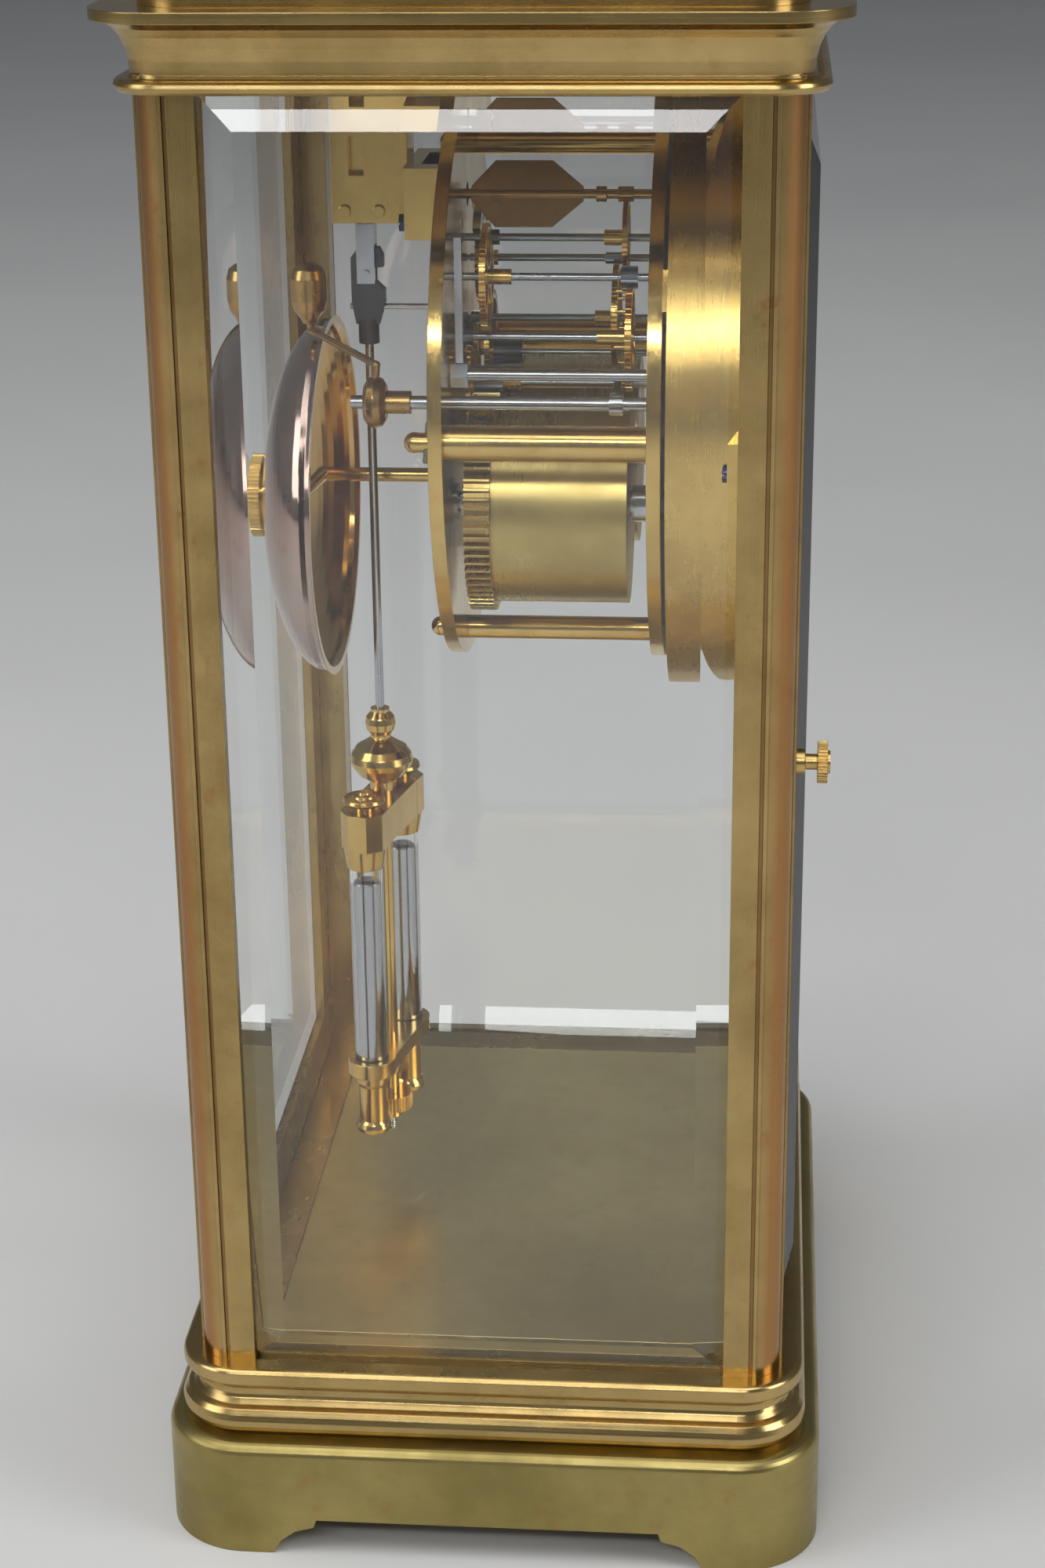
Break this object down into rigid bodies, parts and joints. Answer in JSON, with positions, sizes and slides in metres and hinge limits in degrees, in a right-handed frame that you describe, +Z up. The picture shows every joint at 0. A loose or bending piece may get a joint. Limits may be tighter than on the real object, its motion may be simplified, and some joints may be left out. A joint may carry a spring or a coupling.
{
  "type": "mantel clock",
  "caption": "Upright brass and glass mantel clock: bevelled panes, hinged doors, a round striking movement, a bell and a swinging mercury-jar pendulum.",
  "frame": {"origin": "under the middle of the base, on the surface the clock stands on", "axes": "+Z up, -Y the way the dial faces, +X to the right hand of a person looking at the dial"},
  "size_m": [0.177, 0.133, 0.312],
  "materials": {
    "case_brass": "aged satin, brushed along the mouldings",
    "floor_brass": "aged satin",
    "movement_brass": "polished, lightly brushed",
    "gilt_brass": "bright polished",
    "bronze": "dull coppery",
    "bell_metal": "polished bell metal",
    "steel": "polished",
    "dark_steel": "dark, oiled",
    "blued_steel": "heat blued",
    "glass": "clear, bevelled",
    "enamel": "white vitreous enamel",
    "mercury": "liquid metal"
  },
  "bodies": {
    "case": {"base_plinth": "case_brass", "base_sill": "case_brass", "floor_plate": "floor_brass", "pillar_front_left": "case_brass", "pillar_front_right": "case_brass", "pillar_back_left": "case_brass", "pillar_back_right": "case_brass", "cornice": "case_brass", "roof_plate": "case_brass", "side_glass_left": "glass", "side_glass_right": "glass", "case_screws": "movement_brass", "door_pivots": "steel", "front_plate": "movement_brass", "rear_plate": "movement_brass", "plate_pillars": "movement_brass", "pillar_pins": "steel", "dial_ring": "movement_brass", "bezel": "movement_brass", "dial": "enamel", "plate_screws": "blued_steel", "back_cock": "movement_brass", "suspension_bracket": "movement_brass", "bell_stand": "movement_brass", "bell": "bell_metal", "bell_nut": "movement_brass"},
    "front_door": {"front_door_frame": "case_brass", "front_door_glass": "glass"},
    "front_knob": {"front_door_knob": "case_brass"},
    "back_door": {"back_door_frame": "case_brass", "back_door_glass": "glass"},
    "back_knob": {"back_door_knob": "case_brass"},
    "centre": {"centre_wheel": "movement_brass", "minute_hand": "blued_steel"},
    "hour": {"hour_wheel": "movement_brass", "hour_hand": "blued_steel"},
    "minute": {"minute_wheel": "movement_brass"},
    "third": {"third_wheel": "movement_brass"},
    "escape": {"escape_wheel": "movement_brass"},
    "intermediate": {"intermediate_wheel": "movement_brass"},
    "going": {"going_barrel": "movement_brass"},
    "going_winder": {"going_arbor": "steel"},
    "strike": {"strike_barrel": "movement_brass"},
    "strike_winder": {"strike_arbor": "steel"},
    "strike_second": {"strike_second_wheel": "movement_brass"},
    "strike_pin": {"strike_pin_wheel": "movement_brass"},
    "strike_locking": {"strike_locking_wheel": "movement_brass"},
    "strike_warning": {"strike_warning_wheel": "movement_brass"},
    "strike_fly": {"fly": "bronze"},
    "striker": {"hammer_arbor": "steel", "hammer": "bronze"},
    "detent": {"detent_lever": "steel"},
    "pallets": {"anchor": "steel"},
    "pendulum": {"suspension_spring": "steel", "pendulum_hook": "dark_steel", "pendulum_rod": "steel"},
    "bob": {"bob_frame": "gilt_brass", "mercury_jars": "glass", "mercury": "mercury"},
    "rating": {"rating_nut": "gilt_brass"}
  },
  "joints": [
    {"name": "front_door_hinge", "type": "hinge", "parent": "case", "child": "front_door", "pos_m": [0.0657, -0.0554, 0.1647], "axis": [0, 0, 1], "range_deg": [0, 92]},
    {"name": "front_knob_turn", "type": "hinge", "parent": "front_door", "child": "front_knob", "pos_m": [-0.06515, -0.0554, 0.1647], "axis": [0, 1, 0], "range_deg": [-90, 0]},
    {"name": "back_door_hinge", "type": "hinge", "parent": "case", "child": "back_door", "pos_m": [-0.0657, 0.0554, 0.1647], "axis": [0, 0, 1], "range_deg": [0, 92]},
    {"name": "back_knob_turn", "type": "hinge", "parent": "back_door", "child": "back_knob", "pos_m": [0.06515, 0.0554, 0.1647], "axis": [0, -1, 0], "range_deg": [-90, 0]},
    {"name": "centre_arbor", "type": "hinge", "parent": "case", "child": "centre", "pos_m": [0, 0, 0.2221], "axis": [0, 1, 0], "continuous": true},
    {"name": "hour_pipe", "type": "hinge", "parent": "case", "child": "hour", "pos_m": [0, 0, 0.2221], "axis": [0, 1, 0], "continuous": true},
    {"name": "minute_arbor", "type": "hinge", "parent": "case", "child": "minute", "pos_m": [0.00688, 0, 0.23193], "axis": [0, 1, 0], "continuous": true},
    {"name": "third_arbor", "type": "hinge", "parent": "case", "child": "third", "pos_m": [0, 0, 0.23544], "axis": [0, 1, 0], "continuous": true},
    {"name": "escape_arbor", "type": "hinge", "parent": "case", "child": "escape", "pos_m": [0, 0, 0.24754], "axis": [0, 1, 0], "continuous": true},
    {"name": "intermediate_arbor", "type": "hinge", "parent": "case", "child": "intermediate", "pos_m": [0.01398, 0, 0.2254], "axis": [0, 1, 0], "continuous": true},
    {"name": "going_barrel_turn", "type": "hinge", "parent": "case", "child": "going", "pos_m": [0.0225, 0, 0.2032], "axis": [0, 1, 0], "continuous": true},
    {"name": "going_winding", "type": "hinge", "parent": "case", "child": "going_winder", "pos_m": [0.0225, 0, 0.2032], "axis": [0, 1, 0], "continuous": true},
    {"name": "strike_locking_arbor", "type": "hinge", "parent": "case", "child": "strike_locking", "pos_m": [-0.0214, 0, 0.24771], "axis": [0, 1, 0], "continuous": true},
    {"name": "strike_pin_arbor", "type": "hinge", "parent": "case", "child": "strike_pin", "pos_m": [-0.01993, 0, 0.23571], "axis": [0, 1, 0], "continuous": true},
    {"name": "strike_second_arbor", "type": "hinge", "parent": "case", "child": "strike_second", "pos_m": [-0.01398, 0, 0.2254], "axis": [0, 1, 0], "continuous": true},
    {"name": "strike_barrel_turn", "type": "hinge", "parent": "case", "child": "strike", "pos_m": [-0.0225, 0, 0.2032], "axis": [0, 1, 0], "continuous": true},
    {"name": "strike_winding", "type": "hinge", "parent": "case", "child": "strike_winder", "pos_m": [-0.0225, 0, 0.2032], "axis": [0, 1, 0], "continuous": true},
    {"name": "strike_warning_arbor", "type": "hinge", "parent": "case", "child": "strike_warning", "pos_m": [-0.01189, 0, 0.25365], "axis": [0, 1, 0], "continuous": true},
    {"name": "fly_arbor", "type": "hinge", "parent": "case", "child": "strike_fly", "pos_m": [-0.0139, 0, 0.26238], "axis": [0, 1, 0], "continuous": true},
    {"name": "hammer_swing", "type": "hinge", "parent": "case", "child": "striker", "pos_m": [-0.038, 0, 0.2267], "axis": [0, 1, 0], "range_deg": [-18, 1.5], "stiffness_Nm_per_rad": 0.004, "springref_deg": 1.72},
    {"name": "detent_swing", "type": "hinge", "parent": "case", "child": "detent", "pos_m": [-0.038, 0, 0.2322], "axis": [0, 1, 0], "range_deg": [-6, 6]},
    {"name": "pendulum_swing", "type": "hinge", "parent": "case", "child": "pendulum", "pos_m": [0, 0.0287, 0.26014], "axis": [0, 1, 0], "range_deg": [-3, 3]},
    {"name": "pallet_arbor", "type": "hinge", "parent": "case", "child": "pallets", "pos_m": [0, 0, 0.26014], "axis": [0, 1, 0], "range_deg": [-3, 3]},
    {"name": "rating_nut_turn", "type": "hinge", "parent": "bob", "child": "rating", "pos_m": [0, 0.0287, 0.058], "axis": [0, 0, 1], "range_deg": [-720, 720]},
    {"name": "bob_slide", "type": "slide", "parent": "pendulum", "child": "bob", "axis": [0, 0, 1], "range_m": [-0.001, 0.001]}
  ],
  "couplings": [
    {"joint": "hour_pipe", "follows": "centre_arbor", "ratio": 0.083333},
    {"joint": "minute_arbor", "follows": "centre_arbor", "ratio": -0.33333},
    {"joint": "third_arbor", "follows": "centre_arbor", "ratio": -10.5},
    {"joint": "escape_arbor", "follows": "centre_arbor", "ratio": 112.5},
    {"joint": "intermediate_arbor", "follows": "centre_arbor", "ratio": -0.15625},
    {"joint": "going_barrel_turn", "follows": "centre_arbor", "ratio": 0.021701},
    {"joint": "strike_pin_arbor", "follows": "strike_locking_arbor", "ratio": -0.19231},
    {"joint": "strike_second_arbor", "follows": "strike_locking_arbor", "ratio": 0.032051},
    {"joint": "strike_barrel_turn", "follows": "strike_locking_arbor", "ratio": -0.0044516},
    {"joint": "strike_warning_arbor", "follows": "strike_locking_arbor", "ratio": -7.5},
    {"joint": "fly_arbor", "follows": "strike_locking_arbor", "ratio": 45},
    {"joint": "pallet_arbor", "follows": "pendulum_swing", "ratio": 1},
    {"joint": "rating_nut_turn", "follows": "bob_slide", "rad_per_m": 12566}
  ]
}
